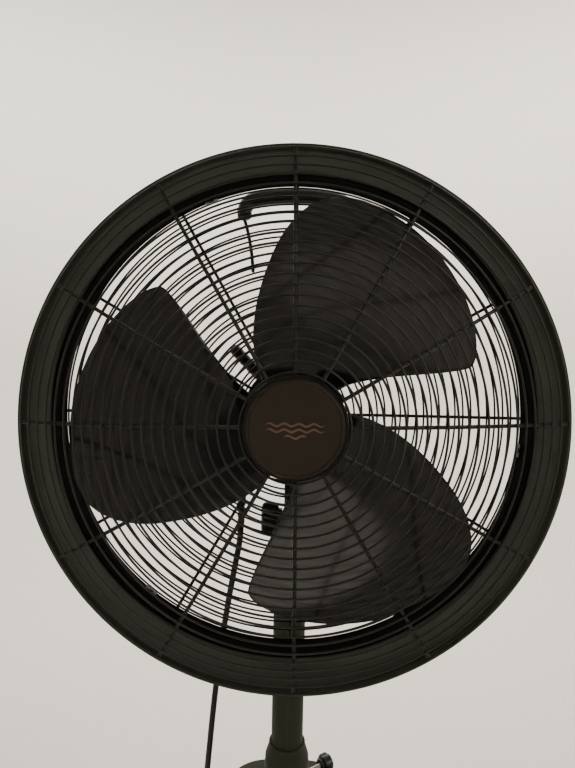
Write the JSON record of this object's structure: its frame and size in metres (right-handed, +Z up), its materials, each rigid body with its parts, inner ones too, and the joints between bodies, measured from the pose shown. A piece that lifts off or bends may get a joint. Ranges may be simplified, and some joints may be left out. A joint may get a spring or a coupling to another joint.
{
  "type": "pedestal fan",
  "caption": "Pedestal fan with a drum-shaped shroud, wire grilles, broad paddle blades, a tilt joint, a mast with a control housing and a round base.",
  "frame": {"origin": "centre of the base pad's underside, on the floor", "axes": "+Z up, the fan blows towards -Y, +X is on the right for a person facing the fan"},
  "size_m": [0.5, 0.452, 1.5011],
  "materials": {
    "shroud_paint": "matte dark grey-green",
    "black_paint": "semi-gloss black",
    "steel": "zinc plated",
    "iron": "dark primed",
    "cast_aluminium": "satin painted",
    "copper": "enamelled wire",
    "blade_plastic": "polished black",
    "black_plastic": "fine grained black",
    "badge_plastic": "matte brown-black",
    "nylon": "natural nylon",
    "rubber": "matte black"
  },
  "bodies": {
    "stand": {"base_pad": "rubber", "base_plate": "iron", "base_bolt": "steel", "tube_foot": "cast_aluminium", "base_cover": "shroud_paint", "outer_tube": "shroud_paint", "tube_bushing": "nylon"},
    "height_collar": {"height_collar": "black_plastic"},
    "slider": {"slider_foot": "nylon"},
    "mast": {"inner_tube": "steel", "housing_front": "shroud_paint", "housing_rear": "shroud_paint", "dial_plate": "badge_plastic", "switch_block": "black_plastic", "mast_clamp": "cast_aluminium", "lead_gland": "rubber", "mains_gland": "rubber", "neck_sleeve": "black_plastic", "neck_collar": "shroud_paint", "upper_tube": "shroud_paint", "tilt_bracket": "cast_aluminium", "tilt_bolt": "steel", "motor_lead": "rubber"},
    "speed_knob": {"speed_knob": "black_plastic", "switch_shaft": "steel"},
    "neck_knob": {"neck_knob": "black_plastic", "neck_stud": "steel"},
    "tilt_knob": {"tilt_knob": "black_plastic"},
    "head": {"motor_foot": "cast_aluminium", "motor_housing": "black_paint", "motor_end_cover": "black_paint", "stator_core": "iron", "winding_front": "copper", "winding_rear": "copper", "bearing_front": "steel", "bearing_rear": "steel", "terminal_box": "black_plastic", "capacitor": "steel", "motor_gland": "rubber", "shroud": "shroud_paint", "rear_ring": "black_plastic", "rear_grille": "black_paint", "grille_plate": "iron", "front_grille": "black_paint", "hub_badge": "badge_plastic", "carry_grip": "black_plastic", "grip_stay_left": "black_paint", "grip_stay_right": "black_paint", "aim_handle": "black_plastic", "grille_clip_1": "black_paint", "grille_clip_2": "black_paint", "grille_clip_3": "black_paint"},
    "rotor": {"motor_shaft": "steel", "rotor_core": "iron", "blade_hub": "black_plastic", "blade_1": "blade_plastic", "blade_2": "blade_plastic", "blade_3": "blade_plastic", "lock_nut": "black_plastic"}
  },
  "joints": [
    {"name": "height_slide", "type": "slide", "parent": "stand", "child": "slider", "axis": [0, 0, 1], "range_m": [-0.065, 0.2]},
    {"name": "mast_swivel", "type": "hinge", "parent": "slider", "child": "mast", "pos_m": [0, 0, 0.45], "axis": [0, 0, 1], "range_deg": [-175, 175]},
    {"name": "head_tilt", "type": "hinge", "parent": "mast", "child": "head", "pos_m": [0, 0, 1.108], "axis": [-1, 0, 0], "range_deg": [-19, 31], "deforming": ["motor_lead"]},
    {"name": "rotor_spin", "type": "hinge", "parent": "head", "child": "rotor", "pos_m": [0, 0.00921, 1.23968], "axis": [0, -0.9976, 0.0698], "continuous": true},
    {"name": "tilt_knob_turn", "type": "hinge", "parent": "mast", "child": "tilt_knob", "pos_m": [0, 0, 1.108], "axis": [-1, 0, 0], "range_deg": [0, 270]},
    {"name": "neck_knob_turn", "type": "hinge", "parent": "mast", "child": "neck_knob", "pos_m": [0, 0, 0.768], "axis": [0.8387, 0.5446, 0], "range_deg": [0, 270]},
    {"name": "speed_knob_turn", "type": "hinge", "parent": "mast", "child": "speed_knob", "pos_m": [0, 0, 0.662], "axis": [0, 1, 0], "range_deg": [0, 135]},
    {"name": "height_collar_turn", "type": "hinge", "parent": "stand", "child": "height_collar", "pos_m": [0, 0, 0.46], "axis": [0, 0, 1], "range_deg": [0, 120]}
  ]
}
